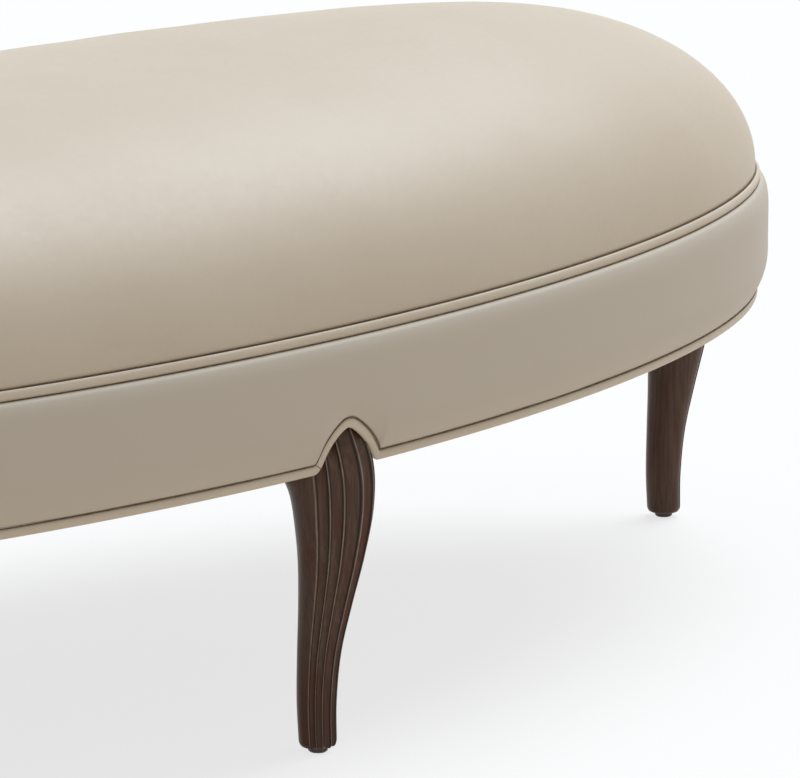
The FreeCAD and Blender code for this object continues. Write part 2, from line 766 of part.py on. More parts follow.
# Welts: leather tubes round cords, one oval under the crown and one in lengths under the band.
UPPER_WELT = f"({BAND_TOP} + welt_diameter / 2)"
skin_radius = value(WELT_RADIUS)
bore_radius = value(WELT_BORE)
cord_radius = value("cord_diameter / 2")
upper_ring = (value("welt_inset"), value(UPPER_WELT))
upper_tube = ring_pipe(*upper_ring, skin_radius).cut(ring_pipe(*upper_ring, bore_radius))
node(feature("upper_welt_cover", upper_tube), "upper_welt_cover")
node(feature("upper_welt_cord", ring_pipe(*upper_ring, cord_radius)), "upper_welt_cord")

arch_cords = []
for side in SIDES:
    tube = arch_pipe(side, skin_radius).cut(arch_pipe(side, bore_radius))
    welt = feature(f"{side}_arch_welt", tube)
    welt.Placement = side_place(side)
    node(welt, f"{side}_arch_welt")
    cord = feature(f"{side}_arch_cord", arch_pipe(side, cord_radius))
    cord.Placement = side_place(side)
    arch_cords.append(cord)
cord_lengths = []
for corner in QUADRANTS:
    tube = welt_pipe(corner, skin_radius).cut(welt_pipe(corner, bore_radius))
    node(feature(f"{corner}_welt", tube), f"{corner}_welt")
    cord_lengths.append(feature(f"{corner}_cord", welt_pipe(corner, cord_radius)))
node(compound("lower_welt_cords", cord_lengths + arch_cords), "lower_welt_cords")

# Dust cover: a thin cloth over the hem, notched round the legs and stapled to the rails.
dust_blank = slab("dust_blank", "-dust_inset", "lower_seam - clearance - dust_cover", "dust_cover")
notches = [
    side_box(
        f"{side}_notch", side, f"2 * ({SHOULDER_RADIUS} + notch_margin)", "0",
        f"{POST_BACK} + notch_margin", "lower_seam - clearance - dust_cover", "dust_cover",
    )
    for side in SIDES
]
dust_holes = compound("dust_holes", notches + [doc.getObject("dust_cover_staples")])
node(boolean("Cut", "dust_cover", dust_blank, dust_holes), "dust_cover")

doc.recompute()

for thing in doc.Objects:
    if "Invalid" in thing.State or "Error" in thing.State:
        raise RuntimeError(f"{thing.Name} failed: {thing.State}")
for piece in nodes:
    if piece.Shape.isNull() or not piece.Shape.isValid():
        raise RuntimeError(f"{piece.Label} has no valid shape")

os.makedirs("parts", exist_ok=True)
for piece in nodes:
    piece.Shape.exportStep(os.path.join("parts", f"{piece.Label}.step"))
    print(f"{piece.Label}: {len(piece.Shape.Solids)} solids, {piece.Shape.Volume / 1000:.1f} cm3")
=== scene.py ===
import math

import bmesh
import bpy
from bpy.props import FloatProperty, FloatVectorProperty, PointerProperty
from mathutils import Matrix, Vector, noise


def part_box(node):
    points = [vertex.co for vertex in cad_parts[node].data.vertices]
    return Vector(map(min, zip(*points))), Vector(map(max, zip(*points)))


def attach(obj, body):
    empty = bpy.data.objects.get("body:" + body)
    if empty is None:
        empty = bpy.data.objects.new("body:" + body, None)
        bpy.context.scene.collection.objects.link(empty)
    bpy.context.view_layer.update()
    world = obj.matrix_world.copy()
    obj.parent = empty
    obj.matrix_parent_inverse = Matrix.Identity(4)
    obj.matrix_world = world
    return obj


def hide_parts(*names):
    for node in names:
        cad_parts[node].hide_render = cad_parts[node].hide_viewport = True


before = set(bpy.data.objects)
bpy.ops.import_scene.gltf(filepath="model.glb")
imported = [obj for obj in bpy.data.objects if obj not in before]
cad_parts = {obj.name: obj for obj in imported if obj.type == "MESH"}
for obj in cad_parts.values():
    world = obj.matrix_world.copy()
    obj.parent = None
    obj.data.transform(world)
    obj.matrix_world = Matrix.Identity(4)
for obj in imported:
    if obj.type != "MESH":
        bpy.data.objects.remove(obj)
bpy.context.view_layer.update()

bl_info = {
    "name": "Oval Bed Bench",
    "version": (1, 0, 0),
    "blender": (4, 5, 0),
    "location": "View3D > Sidebar > Bench",
    "description": "Dresses the frame of an oval bed bench in leather and carved wood",
    "category": "Object",
}

CROWN_LOW, CROWN_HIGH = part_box("top_cover")
BAND_LOW, BAND_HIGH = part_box("band_cover")
CLOTH_LOW, CLOTH_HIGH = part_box("dust_cover")
LEG_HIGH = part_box("front_leg")[1]
BULGE = 0.009
PUFFS = 14
MERGE = 1e-6
SIDES = ("front", "right", "rear", "left")
CORNERS = ("front_left", "front_right", "rear_left", "rear_right")
ROUND = 2 * math.pi


def length(name, description, default):
    """A size in metres."""
    return FloatProperty(name=name, description=description, default=default, unit="LENGTH", precision=5)


def share(name, description, default):
    """A plain number without a unit."""
    return FloatProperty(name=name, description=description, default=default, precision=4)


def angle(name, description, degrees):
    """An angle, written in degrees."""
    return FloatProperty(name=name, description=description, default=math.radians(degrees), unit="ROTATION")


def colour(name, description, default):
    """A linear colour."""
    return FloatVectorProperty(
        name=name, description=description, default=default, size=3, subtype="COLOR", min=0, max=1
    )


def place(name, description, default):
    """A point or a row of three sizes in metres."""
    return FloatVectorProperty(
        name=name, description=description, default=default, size=3, unit="LENGTH", precision=5
    )


class BENCH_PG_seat(bpy.types.PropertyGroup):
    """Sizes of the crown and the band."""

    half_length: length("Half length", "Middle of the seat to the seam at an end", BAND_HIGH.x - BULGE)
    half_depth: length("Half depth", "Middle of the seat to the seam at a side", BAND_HIGH.y - BULGE)
    crown_run: length("Crown run", "How far the ridge of the crown stops short of its base", 0.417)
    crown_power: share("Crown power", "How far the crown keeps its height towards the side", 2.684)
    crown_root: share("Crown root", "How upright the crown's side stands", 2.03)
    unevenness: length("Unevenness", "How far the stuffing leaves the leather uneven", 0.0005)
    band_bulge: length("Band bulge", "How far the band swells past its seams", BULGE)
    full_from: share("Full from", "Share of the band's height by which it has swelled out", 0.35)
    full_to: share("Full to", "Share of the band's height from which it draws in again", 0.60)
    arch_pull: share("Arch pull", "Share of the band's height by which it swells faster over an arch", 0.17)
    seam_roll: length("Seam roll", "Radius by which the leather rolls into a seam", 0.0016)
    edge_tuck: length("Edge tuck", "How far the band's lower edge draws in", 0.0014)
    hem: length("Hem", "How far the leather turns in behind a seam", 0.0045)
    leather: length("Leather", "Thickness of the hide", 0.0013)
    padding: length("Padding", "Thickness of the wadding behind the band", 0.0022)
    padding_gap: length("Padding gap", "Room between the hide and the wadding", 0.0003)


class BENCH_PG_welt(bpy.types.PropertyGroup):
    """Sizes of the piping, its seams and the arches over the legs."""

    radius: length("Welt radius", "Half the height of the piping", 0.0040)
    thickness: length("Welt thickness", "Half the thickness of the flattened piping", 0.0024)
    cord_radius: length("Cord radius", "Radius of the cord inside the piping", 0.0016)
    upper_inset: length("Upper welt inset", "How far the upper piping stands in from the seam", 0.0019)
    lower_inset: length("Lower welt inset", "How far the lower piping stands in from the seam", 0.0028)
    # The seam tubes are dark thread and painted shade in the seam's groove.
    seam_radius: length("Seam radius", "Radius of the dark thread that shows in a seam", 0.00044)
    # Painted shade: a dark tube in the seam finish lies in each mitre's crease.
    crease_shade_radius: length("Crease radius", "Radius of the dark crease where the piping is mitred", 0.0003)
    arch_half: length("Arch half width", "Leg axis to the foot of an arch", 0.0315)
    arch_rise: length("Arch rise", "How far an arch rises over the lower piping", 0.0325)
    arch_tip: length("Arch tip", "Radius at the top of an arch", 0.012)
    arch_shoulder: angle("Arch shoulder", "Slope where the tip turns into a flank", 30)
    arch_lean: length("Arch lean", "How far the leg pushes the top of an arch outwards", 0.0064)
    arch_skew: length("Arch skew", "How far the top of an arch stands to the left of its leg", 0.0050)
    arch_shift: length("Arch shift", "How far a whole arch stands to the left of its leg", 0.0020)
    corner: length("Corner", "How far the piping eases round the foot of an arch", 0.0022)


class BENCH_PG_leg(bpy.types.PropertyGroup):
    """Sections of a leg: height, reach past the seam and radius, from the foot upwards."""

    foot: place("Foot", "Height, reach and radius at the foot", (0.0045, -0.0209, 0.0144))
    ankle: place("Ankle", "Height, reach and radius at the ankle", (0.0390, -0.0212, 0.0152))
    shin: place("Shin", "Height, reach and radius at the shin", (0.07775, -0.0167, 0.0168))
    calf: place("Calf", "Height, reach and radius at the calf", (0.1165, -0.0064, 0.0205))
    hollow: place("Hollow", "Height, reach and radius under the knee", (0.15525, 0.0048, 0.0254))
    knee: place("Knee", "Height, reach and radius at the knee", (0.1940, 0.0122, 0.0306))
    shoulder: place("Shoulder", "Height, reach and radius at the seam", (0.2280, 0.0107, 0.0318))
    crown: place("Crown", "Height, reach and radius inside the arch", (0.2660, -0.0050, 0.0280))
    toe_round: length("Toe rounding", "Height of the rounded edge of the foot", 0.0048)
    toe_inset: length("Toe inset", "How far the rounded edge draws in", 0.0027)
    wide_flute: angle("Wide flute", "Turn of the two front flutes", 30)
    narrow_flute: angle("Narrow flute", "Turn of the four side flutes", 20)
    flute_depth: share("Flute depth", "Depth of a flute as a share of its width", 0.25)
    fillet: angle("Fillet", "Half the turn of the flat ridge between two flutes", 0.6)
    softness: share("Softness", "How softly a flute meets its ridge", 0.05)
    # The pale ridges and rim set here are partly wear and partly painted highlight.
    rubbed_and_highlit: share("Rubbed", "Share of a flute beside its ridge that is rubbed pale", 0.035)
    rim: angle("Rim", "Turn over which the outermost ridges are rubbed pale towards the back", 3.0)
    # Painted shade: the flutes are painted darkest at this share of their width beside each ridge.
    flute_shade_peak: share("Glazed", "Share of a flute at which the glaze is darkest", 0.17)
    flare: length("Flare", "How fast the plain back flares out under the seat", 0.0195)
    flare_stop: share("Flare stop", "Share of the way up to the seam at which the flare ends", 0.84)
    flare_from: length("Flare start", "Height from which the plain back flares out", 0.165)
    post_half: length("Post half width", "Half the width of the square post", 0.022)
    post_middle: length("Post middle", "Seam to the axis of the post", 0.029)


class BENCH_PG_finish(bpy.types.PropertyGroup):
    """Colours of the finishes."""

    hide: colour("Hide", "Leather of the crown and the band", (0.600, 0.520, 0.414))
    hide_warm: colour("Hide, warm", "Warmer clouds in the leather", (0.580, 0.495, 0.389))
    piping: colour("Piping", "Leather of the piping", (0.630, 0.550, 0.443))
    piping_warm: colour("Piping, warm", "Warmer stretches of the piping", (0.600, 0.515, 0.408))
    wadding: colour("Wadding", "White wadding under the leather", (0.86, 0.86, 0.84))
    wadding_dull: colour("Wadding, dull", "Duller tufts of the wadding", (0.78, 0.78, 0.76))
    cotton: colour("Cotton", "Cord inside the piping", (0.80, 0.77, 0.70))
    cotton_dull: colour("Cotton, dull", "Duller tufts of the cord", (0.70, 0.66, 0.58))
    # Dark thread and painted shade: the seam tubes stand for the thread and the shadow in the seam's
    # groove.
    thread_and_seam_shade: colour("Thread", "Dark thread in the seams", (0.115, 0.075, 0.038))
    thread_and_seam_shade_pale: colour("Thread, pale", "Worn stretches of the thread", (0.190, 0.133, 0.076))
    stain: colour("Stain", "Dark stain of the legs", (0.090, 0.053, 0.036))
    stain_brown: colour("Stain, brown", "Paler streaks of the legs", (0.130, 0.083, 0.060))
    stain_red: colour("Stain, red", "Reddish blush of the legs", (0.120, 0.038, 0.026))
    # Partly wear and partly painted highlight on the ridges of the legs.
    worn_ridge_and_highlight: colour("Stain, worn", "Ridges rubbed paler", (0.420, 0.345, 0.280))
    # Painted shade: near black painted into the flutes beside the ridges, where the flutes fall into shade.
    painted_flute_shade: colour("Glaze", "Dark glaze left beside the ridges", (0.008, 0.005, 0.004))
    beech: colour("Beech", "Rails and blocks", (0.55, 0.40, 0.25))
    beech_dark: colour("Beech, dark", "Darker streaks of the rails and blocks", (0.46, 0.31, 0.18))
    birch: colour("Birch", "Plywood deck", (0.62, 0.48, 0.32))
    birch_dark: colour("Birch, dark", "Darker streaks of the deck", (0.54, 0.39, 0.24))
    foam: colour("Foam", "Stuffing of the seat", (0.80, 0.75, 0.58))
    foam_dull: colour("Foam, dull", "Duller cells of the stuffing", (0.74, 0.67, 0.48))
    steel: colour("Steel", "Bolts, screws and staples", (0.62, 0.62, 0.64))
    steel_dull: colour("Steel, dull", "Duller specks of the steel", (0.52, 0.52, 0.55))
    nylon: colour("Nylon", "Glides under the feet", (0.055, 0.031, 0.021))
    nylon_pale: colour("Nylon, pale", "Paler specks of the glides", (0.072, 0.043, 0.030))
    cloth: colour("Cloth", "Black cloth under the seat", (0.016, 0.016, 0.018))
    cloth_pale: colour("Cloth, pale", "Paler threads of the cloth", (0.028, 0.028, 0.030))
    floor: colour("Floor", "Pale floor", (0.97, 0.97, 0.97))
    floor_glow: colour("Floor, lit", "White that lifts the floor's shadow", (1.0, 1.0, 1.0))
    floor_warmth: colour("Floor, bounced", "Floor as bounced light sees it", (0.88, 0.78, 0.66))
    daylight: colour("Daylight", "Cool light from overhead", (0.90, 0.95, 1.0))


class BENCH_PG_stage(bpy.types.PropertyGroup):
    """Camera and light."""

    eye: place("Eye", "Where the camera stands", (-2.994, -3.208, 1.261))
    target: place("Target", "What the camera looks at", (-0.0332, -0.3956, 0.3048))
    lens: FloatProperty(name="Lens", description="Focal length", default=260.5, unit="CAMERA")
    sky: share("Sky", "Light from all round", 0.355)
    overhead: share("Overhead", "Light from above", 2.50)
    overhead_width: angle("Overhead width", "How broad the light from above is", 44)
    overhead_from: place("Overhead from", "Where the light from above comes from", (1.80, 0.30, 3.0))
    shadow_lift: share("Shadow lift", "How far the floor's shadow is lifted towards white", 0.75)


def seat_sizes():
    return bpy.context.scene.bench_seat


def welt_sizes():
    return bpy.context.scene.bench_welt


def leg_sizes():
    return bpy.context.scene.bench_leg


def finish_colours():
    return bpy.context.scene.bench_finish


# Mesh helpers

def ring_stack(segments, levels):
    """Rings of quads, each vertex carrying its turn round the ring and the level of its ring."""
    bm = bmesh.new()
    turn = bm.verts.layers.float.new("turn")
    level = bm.verts.layers.float.new("level")
    for vert in bmesh.ops.create_circle(bm, segments=segments, radius=1)["verts"]:
        vert[turn] = math.atan2(vert.co.y, vert.co.x)
        vert[level] = levels[0]
    edges = list(bm.edges)
    for height in levels[1:]:
        grown = bmesh.ops.extrude_edge_only(bm, edges=edges)["geom"]
        fresh = {item for item in grown if isinstance(item, bmesh.types.BMVert)}
        for vert in fresh:
            vert[level] = height
        grown_edges = [item for item in grown if isinstance(item, bmesh.types.BMEdge)]
        edges = [edge for edge in grown_edges if set(edge.verts) <= fresh]
    return bm, turn, level


def lay_out(bm, turn, level, position):
    """Moves each vertex to the position for its turn and level, then merges what meets."""
    for vert in bm.verts:
        vert.co = position(vert[turn], vert[level])
    bm.verts.layers.float.remove(bm.verts.layers.float["turn"])
    bm.verts.layers.float.remove(bm.verts.layers.float["level"])
    bmesh.ops.remove_doubles(bm, verts=bm.verts, dist=MERGE)
    bmesh.ops.recalc_face_normals(bm, faces=bm.faces)


def face_outwards(bm):
    """Turns the faces of an open band so that they point away from the middle of the bench."""
    if sum(face.normal.dot(face.calc_center_median()) for face in bm.faces) < 0:
        bmesh.ops.reverse_faces(bm, faces=bm.faces)


def thicken(piece, name, thickness):
    """Gives an open piece its wall, behind the face that shows."""
    wall = piece.modifiers.new(name, "SOLIDIFY")
    wall.thickness = thickness
    wall.offset = -1


def make_piece(bm, name, material):
    """Turns a bmesh into a smooth piece that rides on the bench."""
    mesh = bpy.data.meshes.new(name)
    bm.to_mesh(mesh)
    bm.free()
    mesh.shade_smooth()
    mesh.materials.append(material)
    piece = bpy.data.objects.new(name, mesh)
    bpy.context.scene.collection.objects.link(piece)
    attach(piece, "root")
    return piece


# Shared shapes

GATHER = 0.85


def gathered(turn):
    """Crowds the columns of a ring towards the four legs."""
    return turn - GATHER * math.sin(4 * turn) / 4


def oval(turn, out, height):
    """A point on the seam oval, moved outwards, at a height."""
    seat = seat_sizes()
    return Vector(
        ((seat.half_length + out) * math.cos(turn), (seat.half_depth + out) * math.sin(turn), height)
    )


def oval_outwards(turn):
    seat = seat_sizes()
    return Vector((math.cos(turn) / seat.half_length, math.sin(turn) / seat.half_depth, 0)).normalized()


def oval_pace(turn):
    """Metres along the seam oval for each radian of turn."""
    seat = seat_sizes()
    return math.hypot(seat.half_length * math.sin(turn), seat.half_depth * math.cos(turn))


def leg_offset(turn):
    """Distance across from the nearest leg's axis, positive to the right of someone facing that leg."""
    point = oval(turn, 0, 0)
    across = (point.x * math.copysign(1, -point.y), point.y * math.copysign(1, point.x))
    return min(across, key=abs)


def arch_line(reach, grow):
    """Height over the lower piping's axis of a line that follows it at a distance, across a leg."""
    welt = welt_sizes()
    sine = math.sin(welt.arch_shoulder)
    cosine = math.cos(welt.arch_shoulder)
    tip = welt.arch_tip + grow
    if reach <= tip * sine:
        return welt.arch_rise - welt.arch_tip + math.sqrt(tip ** 2 - reach ** 2)
    start = Vector((welt.arch_tip * sine, welt.arch_rise - welt.arch_tip * (1 - cosine)))
    chord = Vector((welt.arch_half, 0)) - start
    inwards = Vector((-sine, -cosine))
    radius = chord.length_squared / (2 * chord.dot(inwards))
    middle = start + inwards * radius
    span = (radius + grow) ** 2 - (reach - middle.x) ** 2
    if span <= 0:
        return grow
    return max(grow, middle.y + math.sqrt(span))


def band_swell(height, edge):
    """How far the band stands out from its seams at a height, over an edge that an arch may raise."""
    seat = seat_sizes()
    tall = BAND_HIGH.z - BAND_LOW.z
    raised = (edge - BAND_LOW.z) / welt_sizes().arch_rise
    lower = max(0, 1 - (height - edge) / (tall * (seat.full_from - seat.arch_pull * raised))) ** 2
    upper = max(0, ((height - BAND_LOW.z) / tall - seat.full_to) / (1 - seat.full_to))
    swelled = seat.band_bulge * (1 - lower) * math.sqrt(max(0, 1 - upper ** 4))
    return swelled + (welt_sizes().arch_lean * raised - seat.edge_tuck) * lower


def lower_axis():
    """Height of the axis of the lower piping."""
    return BAND_LOW.z - welt_sizes().radius


def edge_point(turn, grow, out):
    """A point on the band's lower edge or a line beside it, over the arches too."""
    welt = welt_sizes()
    across = leg_offset(turn) + welt.arch_shift
    skew = welt.arch_skew * max(0, 1 - (across / welt.arch_half) ** 2)
    rise = arch_line(abs(across + skew), grow)
    lean = welt.arch_lean * (rise - grow) / welt.arch_rise
    return oval(turn, lean + out, lower_axis() + rise)


def eased_edge(turn, grow, out):
    """The same line with the corners at the arches' feet eased."""
    step = welt_sizes().corner / oval_pace(turn)
    around = [edge_point(turn + step * side, grow, out) for side in (-1, -0.5, 0, 0.5, 1)]
    return sum(around, Vector()) / len(around)


def tube(name, path, radii, counts, material):
    """A closed tube along a path once round the bench, with its half thickness and half height."""
    columns, sides = counts
    thick, tall = radii
    bm, turn, level = ring_stack(columns, [ROUND * number / sides for number in range(sides + 1)])
    frames = {}

    def position(around, section):
        if around not in frames:
            at = gathered(around)
            step = welt_sizes().corner / oval_pace(at)
            along = (path(at + step) - path(at - step)).normalized()
            outwards = oval_outwards(at)
            outwards = (outwards - along * outwards.dot(along)).normalized()
            frames[around] = (path(at), outwards, outwards.cross(along))
        middle, outwards, upwards = frames[around]
        return middle + thick * math.cos(section) * outwards + tall * math.sin(section) * upwards

    lay_out(bm, turn, level, position)
    return make_piece(bm, name, material)


# Node helpers

def new_group(name, inputs, outputs):
    """A shader node group with plain number sockets."""
    group = bpy.data.node_groups.new(name, "ShaderNodeTree")
    for label, value in inputs.items():
        socket = group.interface.new_socket(label, in_out="INPUT", socket_type="NodeSocketFloat")
        socket.default_value = value
    for label in outputs:
        group.interface.new_socket(label, in_out="OUTPUT", socket_type="NodeSocketFloat")
    return group, group.nodes.new("NodeGroupInput"), group.nodes.new("NodeGroupOutput")


def add_node(tree, kind, settings=None, **sockets):
    """A node with its settings and with values or links on its named inputs."""
    node = tree.nodes.new(kind)
    for name, value in (settings or {}).items():
        setattr(node, name, value)
    for name, value in sockets.items():
        feed(tree, node.inputs[name.replace("_", " ")], value)
    return node


def feed(tree, socket, value):
    """Sets an input, or links it where the value is another node's output."""
    if isinstance(value, bpy.types.NodeSocket):
        tree.links.new(value, socket)
    else:
        socket.default_value = value


def arithmetic(tree, operation, first, second):
    node = add_node(tree, "ShaderNodeMath", {"operation": operation})
    feed(tree, node.inputs[0], first)
    feed(tree, node.inputs[1], second)
    return node.outputs[0]


def ramp(tree, value, low, high, to_low=0.0, to_high=1.0):
    """Maps a value from one range to another, smoothly and within its ends."""
    node = add_node(tree, "ShaderNodeMapRange", {"interpolation_type": "SMOOTHSTEP"})
    for socket, item in zip(node.inputs, (value, low, high, to_low, to_high)):
        feed(tree, socket, item)
    return node.outputs["Result"]


def stretched(tree, scale):
    """Object coordinates, stretched along the axes."""
    coordinates = add_node(tree, "ShaderNodeTexCoord").outputs["Object"]
    return add_node(tree, "ShaderNodeMapping", Vector=coordinates, Scale=scale).outputs["Vector"]


def noise_value(tree, vector, scale, detail=2.0, roughness=0.5, distortion=0.0):
    node = add_node(
        tree, "ShaderNodeTexNoise", Vector=vector, Scale=scale, Detail=detail, Roughness=roughness,
        Distortion=distortion,
    )
    return node.outputs[0]


def mixed(tree, factor, first, second):
    """One colour run into another."""
    node = add_node(tree, "ShaderNodeMix", {"data_type": "RGBA"})
    feed(tree, node.inputs[0], factor)
    for socket, item in zip((node.inputs[6], node.inputs[7]), (first, second)):
        feed(tree, socket, item if isinstance(item, bpy.types.NodeSocket) else (*item, 1.0))
    return node.outputs[2]


def new_material(name, **plain):
    """A material whose shader has plain values on the named inputs."""
    material = bpy.data.materials.new(name)
    material.use_nodes = True
    tree = material.node_tree
    shader = tree.nodes["Principled BSDF"]
    for label, value in plain.items():
        shader.inputs[label.replace("_", " ")].default_value = value
    return material, tree, shader


def use_group(tree, group, **values):
    node = add_node(tree, "ShaderNodeGroup", {"node_tree": group})
    for label, value in values.items():
        node.inputs[label.replace("_", " ")].default_value = value
    return node.outputs


def bump(tree, shader, height, strength, distance):
    node = add_node(tree, "ShaderNodeBump", Height=height, Strength=strength, Distance=distance)
    tree.links.new(node.outputs["Normal"], shader.inputs["Normal"])


# Shared effects

def hide_group():
    """Leather: clouds of tone, fine pebbled grain, pores and a few hairline creases."""
    if "Hide" in bpy.data.node_groups:
        return bpy.data.node_groups["Hide"]
    group, given, result = new_group("Hide", {"Pebble Scale": 900.0}, ("Tone", "Grain", "Polish"))
    plain = stretched(group, (1, 1, 1))
    clouds = noise_value(group, plain, 4.0, 3.0, 0.55)
    mottle = noise_value(group, plain, 160.0, 3.0, 0.6)
    tone = arithmetic(group, "ADD", arithmetic(group, "MULTIPLY", clouds, 0.75),
                      arithmetic(group, "MULTIPLY", mottle, 0.25))
    pebbles = add_node(
        group, "ShaderNodeTexVoronoi", {"feature": "SMOOTH_F1"}, Vector=plain, Smoothness=0.6,
        Scale=given.outputs["Pebble Scale"],
    ).outputs["Distance"]
    pores = noise_value(group, plain, 2600.0, 2.0, 0.6)
    warped = add_node(group, "ShaderNodeVectorMath", {"operation": "ADD"})
    feed(group, warped.inputs[0], plain)
    swirl = add_node(group, "ShaderNodeTexNoise", Vector=plain, Scale=9.0, Detail=3.0).outputs["Color"]
    drift = add_node(group, "ShaderNodeVectorMath", {"operation": "SCALE"}, Scale=0.10)
    feed(group, drift.inputs[0], swirl)
    feed(group, warped.inputs[1], drift.outputs[0])
    cracks = add_node(
        group, "ShaderNodeTexVoronoi", {"feature": "DISTANCE_TO_EDGE"}, Vector=warped.outputs[0], Scale=6.0
    ).outputs["Distance"]
    crease = arithmetic(group, "MULTIPLY", ramp(group, cracks, 0.0, 0.006, 1.0, 0.0),
                        ramp(group, noise_value(group, plain, 5.0), 0.60, 0.72))
    grain = arithmetic(group, "ADD", arithmetic(group, "MULTIPLY", pebbles, 0.55),
                       arithmetic(group, "MULTIPLY", pores, 0.25))
    grain = arithmetic(group, "SUBTRACT", grain, arithmetic(group, "MULTIPLY", crease, 0.5))
    polish = arithmetic(group, "ADD", arithmetic(group, "MULTIPLY", mottle, 0.12),
                        arithmetic(group, "MULTIPLY", clouds, 0.10))
    feed(group, result.inputs["Tone"], ramp(group, tone, 0.35, 0.65))
    feed(group, result.inputs["Grain"], grain)
    feed(group, result.inputs["Polish"], polish)
    return group


def timber_group():
    """Timber that stands upright: streaks, broad figure and open pores."""
    if "Timber" in bpy.data.node_groups:
        return bpy.data.node_groups["Timber"]
    group, given, result = new_group("Timber", {"Streak Scale": 1.0}, ("Streak", "Figure", "Pore"))
    upright = stretched(group, (1, 1, 0.05))
    streak_scale = arithmetic(group, "MULTIPLY", given.outputs["Streak Scale"], 420.0)
    streak = noise_value(group, upright, streak_scale, 4.0, 0.6, 0.3)
    figure = noise_value(group, stretched(group, (1, 1, 0.28)), 38.0, 3.0, 0.55, 0.6)
    pore = noise_value(group, stretched(group, (1, 1, 0.03)), 1500.0, 2.0, 0.5)
    feed(group, result.inputs["Streak"], ramp(group, streak, 0.36, 0.66))
    feed(group, result.inputs["Figure"], ramp(group, figure, 0.42, 0.70))
    feed(group, result.inputs["Pore"], ramp(group, pore, 0.30, 0.45))
    return group


def fibre_group():
    """Fine specks and tufts for cloth, foam, wadding, cord, metal and moulded plastic."""
    if "Fibre" in bpy.data.node_groups:
        return bpy.data.node_groups["Fibre"]
    group, given, result = new_group("Fibre", {"Speck Scale": 500.0}, ("Speck", "Tuft"))
    plain = stretched(group, (1, 1, 1))
    speck = noise_value(group, plain, given.outputs["Speck Scale"], 3.0, 0.6)
    tuft_scale = arithmetic(group, "MULTIPLY", given.outputs["Speck Scale"], 0.12)
    tuft = noise_value(group, plain, tuft_scale, 3.0, 0.6)
    feed(group, result.inputs["Speck"], ramp(group, speck, 0.30, 0.70))
    feed(group, result.inputs["Tuft"], ramp(group, tuft, 0.35, 0.65))
    return group


# Finishes

def leather_finish(name, first, second, roughness):
    material, tree, shader = new_material(name, IOR=1.5)
    hide = use_group(tree, hide_group())
    feed(tree, shader.inputs["Base Color"], mixed(tree, hide["Tone"], first, second))
    feed(tree, shader.inputs["Roughness"], arithmetic(tree, "ADD", hide["Polish"], roughness))
    bump(tree, shader, hide["Grain"], 0.16, 0.0004)
    return material


# Seam tubes: dark thread with the groove's shadow painted in.
def seam_thread_and_shade_finish():
    colours = finish_colours()
    material, tree, shader = new_material("seam_thread_and_shade", IOR=1.4)
    fibre = use_group(tree, fibre_group(), Speck_Scale=1400.0)
    feed(tree, shader.inputs["Base Color"], mixed(tree, fibre["Tuft"], colours.thread_and_seam_shade, colours.thread_and_seam_shade_pale))
    feed(tree, shader.inputs["Roughness"], ramp(tree, fibre["Speck"], 0.0, 1.0, 0.65, 0.85))
    bump(tree, shader, fibre["Speck"], 0.4, 0.0002)
    return material


def carved_finish():
    """Dark stained wood, redder in patches, with painted shade in the flutes beside the ridges and the
    ridges worn paler with a painted highlight.
    """
    colours = finish_colours()
    material, tree, shader = new_material("carved_wood", IOR=1.18, Coat_Roughness=0.2)
    timber = use_group(tree, timber_group())
    ridge = add_node(tree, "ShaderNodeAttribute", {"attribute_name": "ridge"}).outputs["Fac"]
    # Painted shade in the flutes beside the ridges, read from the legs' vertex attribute.
    painted_flute_shade = add_node(tree, "ShaderNodeAttribute", {"attribute_name": "painted_flute_shade"}).outputs["Fac"]
    brown = mixed(tree, timber["Streak"], colours.stain, colours.stain_brown)
    blush = arithmetic(tree, "MULTIPLY", timber["Figure"], 0.6)
    red = mixed(tree, blush, brown, colours.stain_red)
    dark = mixed(tree, arithmetic(tree, "MULTIPLY", painted_flute_shade, 0.97), red, colours.painted_flute_shade)
    # The ridges are painted paler: partly wear, partly painted highlight.
    rubbed_and_highlit = arithmetic(tree, "MULTIPLY", ridge, ramp(tree, timber["Streak"], 0.0, 1.0, 0.55, 0.85))
    feed(tree, shader.inputs["Base Color"], mixed(tree, rubbed_and_highlit, dark, colours.worn_ridge_and_highlight))
    feed(tree, shader.inputs["Roughness"], ramp(tree, timber["Streak"], 0.0, 1.0, 0.30, 0.40))
    feed(tree, shader.inputs["Coat Weight"], ramp(tree, timber["Figure"], 0.0, 1.0, 0.15, 0.09))
    bump(tree, shader, arithmetic(tree, "ADD", timber["Pore"], timber["Streak"]), 0.12, 0.0003)
    return material


def timber_finish(name, first, second, streaks):
    """Plain planed timber for the frame."""
    material, tree, shader = new_material(name, IOR=1.45)
    timber = use_group(tree, timber_group(), Streak_Scale=streaks)
    feed(tree, shader.inputs["Base Color"], mixed(tree, timber["Streak"], first, second))
    feed(tree, shader.inputs["Roughness"], ramp(tree, timber["Figure"], 0.0, 1.0, 0.55, 0.70))
    bump(tree, shader, timber["Pore"], 0.25, 0.0003)
    return material


SPECK_GLOSS = 0.06


def fibre_finish(name, first, second, specks, roughness, depth, **plain):
    """Cloth, foam, wadding, cord, metal or plastic, told apart by scale and gloss."""
    material, tree, shader = new_material(name, **plain)
    fibre = use_group(tree, fibre_group(), Speck_Scale=specks)
    feed(tree, shader.inputs["Base Color"], mixed(tree, fibre["Tuft"], first, second))
    dull = ramp(tree, fibre["Speck"], 0.0, 1.0, roughness - SPECK_GLOSS, roughness + SPECK_GLOSS)
    feed(tree, shader.inputs["Roughness"], dull)
    bump(tree, shader, fibre["Speck"], 0.3, depth)
    return material


# Operators

